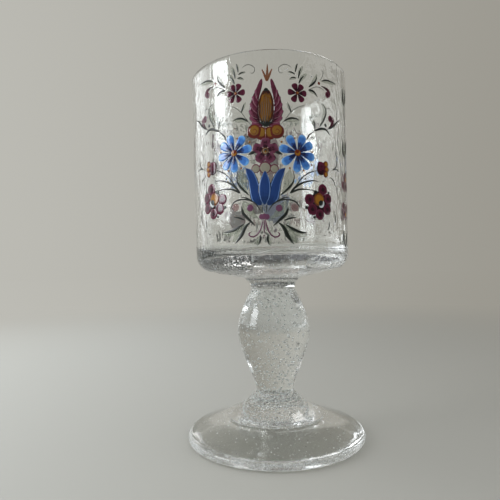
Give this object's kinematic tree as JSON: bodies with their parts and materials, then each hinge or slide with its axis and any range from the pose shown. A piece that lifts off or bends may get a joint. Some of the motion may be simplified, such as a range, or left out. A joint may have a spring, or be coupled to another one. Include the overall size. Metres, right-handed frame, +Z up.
{
  "type": "goblet",
  "caption": "Stemmed drinking glass with a straight-sided bowl, baluster stem and spread foot, painted with an enamel flower bouquet",
  "frame": {"origin": "middle of the ring that the foot stands on", "axes": "+Z up along the axis of the stem; the front of the painted bouquet faces -Y, turned a few degrees towards -X"},
  "size_m": [0.0808, 0.0808, 0.165],
  "materials": {
    "seeded_glass": "clear hand-blown glass with a faint grey-green tint and fine seeds",
    "enamel_maroon": "fired glossy enamel, maroon",
    "enamel_blue": "fired glossy enamel, cornflower blue",
    "enamel_navy": "fired glossy enamel, deep blue",
    "enamel_ochre": "fired glossy enamel, ochre",
    "enamel_green": "fired glossy enamel, dark green"
  },
  "bodies": {
    "root": {"foot": "seeded_glass", "collar": "seeded_glass", "stem": "seeded_glass", "bowl": "seeded_glass", "pod_front": "enamel_ochre", "scallops_front": "enamel_ochre", "rosette_front": "enamel_maroon", "tulip_front": "enamel_navy", "knot_front": "enamel_maroon", "pod_back": "enamel_ochre", "scallops_back": "enamel_ochre", "rosette_back": "enamel_maroon", "tulip_back": "enamel_navy", "knot_back": "enamel_maroon", "wing_front_left": "enamel_maroon", "wing_front_right": "enamel_maroon", "daisy_front_left": "enamel_blue", "daisy_front_right": "enamel_blue", "floret_front_left": "enamel_maroon", "floret_front_right": "enamel_maroon", "leaves_front_left": "enamel_green", "leaves_front_right": "enamel_green", "bloom_front_left": "enamel_maroon", "bloom_front_right": "enamel_maroon", "half_bloom_front_left": "enamel_ochre", "half_bloom_front_right": "enamel_ochre", "low_bud_front_left": "enamel_maroon", "low_bud_front_right": "enamel_maroon", "high_bud_front_left": "enamel_maroon", "high_bud_front_right": "enamel_maroon", "wing_back_left": "enamel_maroon", "wing_back_right": "enamel_maroon", "daisy_back_left": "enamel_blue", "daisy_back_right": "enamel_blue", "floret_back_left": "enamel_maroon", "floret_back_right": "enamel_maroon", "leaves_back_left": "enamel_green", "leaves_back_right": "enamel_green", "bloom_back_left": "enamel_maroon", "bloom_back_right": "enamel_maroon", "half_bloom_back_left": "enamel_ochre", "half_bloom_back_right": "enamel_ochre", "low_bud_back_left": "enamel_maroon", "low_bud_back_right": "enamel_maroon", "high_bud_back_left": "enamel_maroon", "high_bud_back_right": "enamel_maroon"}
  },
  "joints": []
}
